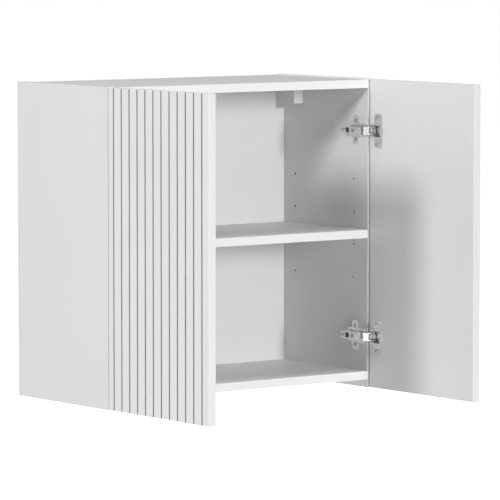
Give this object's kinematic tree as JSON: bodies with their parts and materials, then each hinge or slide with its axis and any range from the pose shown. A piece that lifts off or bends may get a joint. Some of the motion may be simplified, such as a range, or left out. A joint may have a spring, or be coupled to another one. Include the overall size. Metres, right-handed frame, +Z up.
{
  "type": "wall cabinet",
  "caption": "Hanging wall cabinet, open carcass with a shelf and grooved double doors on concealed cup hinges.",
  "frame": {"origin": "the wall plane at the middle of the cabinet's bottom edge, level with the sides' lower edges", "axes": "+X to the cabinet's right as seen from the front, -Y out of the wall toward the room, +Z up"},
  "size_m": [0.633, 0.616, 0.6],
  "materials": {
    "door_paint": "smooth matt white lacquer film on milled board",
    "faced_board": "white melamine facing, faint pearl grain",
    "edging": "white satin edge strip",
    "back_board": "white lacquered thin board",
    "cover_plastic": "moulded white plastic",
    "nickel_steel": "bright nickel plate",
    "screw_steel": "zinc plated steel",
    "zinc": "die cast zinc",
    "beech": "plain turned beech"
  },
  "bodies": {
    "cabinet": {"left_side": "faced_board", "right_side": "faced_board", "top_panel": "faced_board", "bottom_panel": "faced_board", "shelf": "faced_board", "back_panel": "back_board", "left_side_edging": "edging", "right_side_edging": "edging", "top_edging": "edging", "bottom_edging": "edging", "shelf_edging": "edging", "cam_locks": "zinc", "cam_bolts": "screw_steel", "dowels": "beech", "shelf_pins": "screw_steel", "left_hanger_housing": "nickel_steel", "left_hanger_hook": "nickel_steel", "left_hanger_cover": "cover_plastic", "right_hanger_housing": "nickel_steel", "right_hanger_hook": "nickel_steel", "right_hanger_cover": "cover_plastic", "hanger_screws": "screw_steel", "left_lower_plate": "nickel_steel", "left_upper_plate": "nickel_steel", "right_lower_plate": "nickel_steel", "right_upper_plate": "nickel_steel", "left_lower_arm": "nickel_steel", "left_upper_arm": "nickel_steel", "right_lower_arm": "nickel_steel", "right_upper_arm": "nickel_steel", "left_lower_adjusters": "screw_steel", "left_upper_adjusters": "screw_steel", "right_lower_adjusters": "screw_steel", "right_upper_adjusters": "screw_steel", "left_lower_spring": "screw_steel", "left_upper_spring": "screw_steel", "right_lower_spring": "screw_steel", "right_upper_spring": "screw_steel", "plate_screws": "screw_steel", "arm_pins": "screw_steel"},
    "left_outer_links": {"left_lower_outer_link": "nickel_steel", "left_upper_outer_link": "nickel_steel"},
    "left_door": {"left_door": "door_paint", "left_lower_cup": "nickel_steel", "left_upper_cup": "nickel_steel", "left_cup_pins": "screw_steel", "left_cup_screws": "screw_steel"},
    "left_inner_links": {"left_lower_inner_link": "nickel_steel", "left_upper_inner_link": "nickel_steel"},
    "right_outer_links": {"right_lower_outer_link": "nickel_steel", "right_upper_outer_link": "nickel_steel"},
    "right_door": {"right_door": "door_paint", "right_lower_cup": "nickel_steel", "right_upper_cup": "nickel_steel", "right_cup_pins": "screw_steel", "right_cup_screws": "screw_steel"},
    "right_inner_links": {"right_lower_inner_link": "nickel_steel", "right_upper_inner_link": "nickel_steel"}
  },
  "joints": [
    {"name": "left_door_swing", "type": "hinge", "parent": "left_outer_links", "child": "left_door", "pos_m": [-0.30325, -0.31102, 0.3], "axis": [0, 0, 1], "range_deg": [-6.25, 112.5]},
    {"name": "left_outer_link_turn", "type": "hinge", "parent": "cabinet", "child": "left_outer_links", "pos_m": [-0.289, -0.301, 0.3], "axis": [0, 0, 1], "range_deg": [-22.5, 1.25]},
    {"name": "left_inner_link_turn", "type": "hinge", "parent": "left_door", "child": "left_inner_links", "pos_m": [-0.30825, -0.31002, 0.3], "axis": [0, 0, 1], "range_deg": [-86.4, 4.8]},
    {"name": "right_door_swing", "type": "hinge", "parent": "right_outer_links", "child": "right_door", "pos_m": [0.30325, -0.31102, 0.3], "axis": [0, 0, 1], "range_deg": [-112.5, 6.25]},
    {"name": "right_outer_link_turn", "type": "hinge", "parent": "cabinet", "child": "right_outer_links", "pos_m": [0.289, -0.301, 0.3], "axis": [0, 0, 1], "range_deg": [-1.25, 22.5]},
    {"name": "right_inner_link_turn", "type": "hinge", "parent": "right_door", "child": "right_inner_links", "pos_m": [0.30825, -0.31002, 0.3], "axis": [0, 0, 1], "range_deg": [-4.8, 86.4]}
  ],
  "couplings": [
    {"joint": "left_outer_link_turn", "follows": "left_door_swing", "ratio": -0.2},
    {"joint": "left_inner_link_turn", "follows": "left_door_swing", "ratio": -0.768},
    {"joint": "right_outer_link_turn", "follows": "right_door_swing", "ratio": -0.2},
    {"joint": "right_inner_link_turn", "follows": "right_door_swing", "ratio": -0.768}
  ]
}
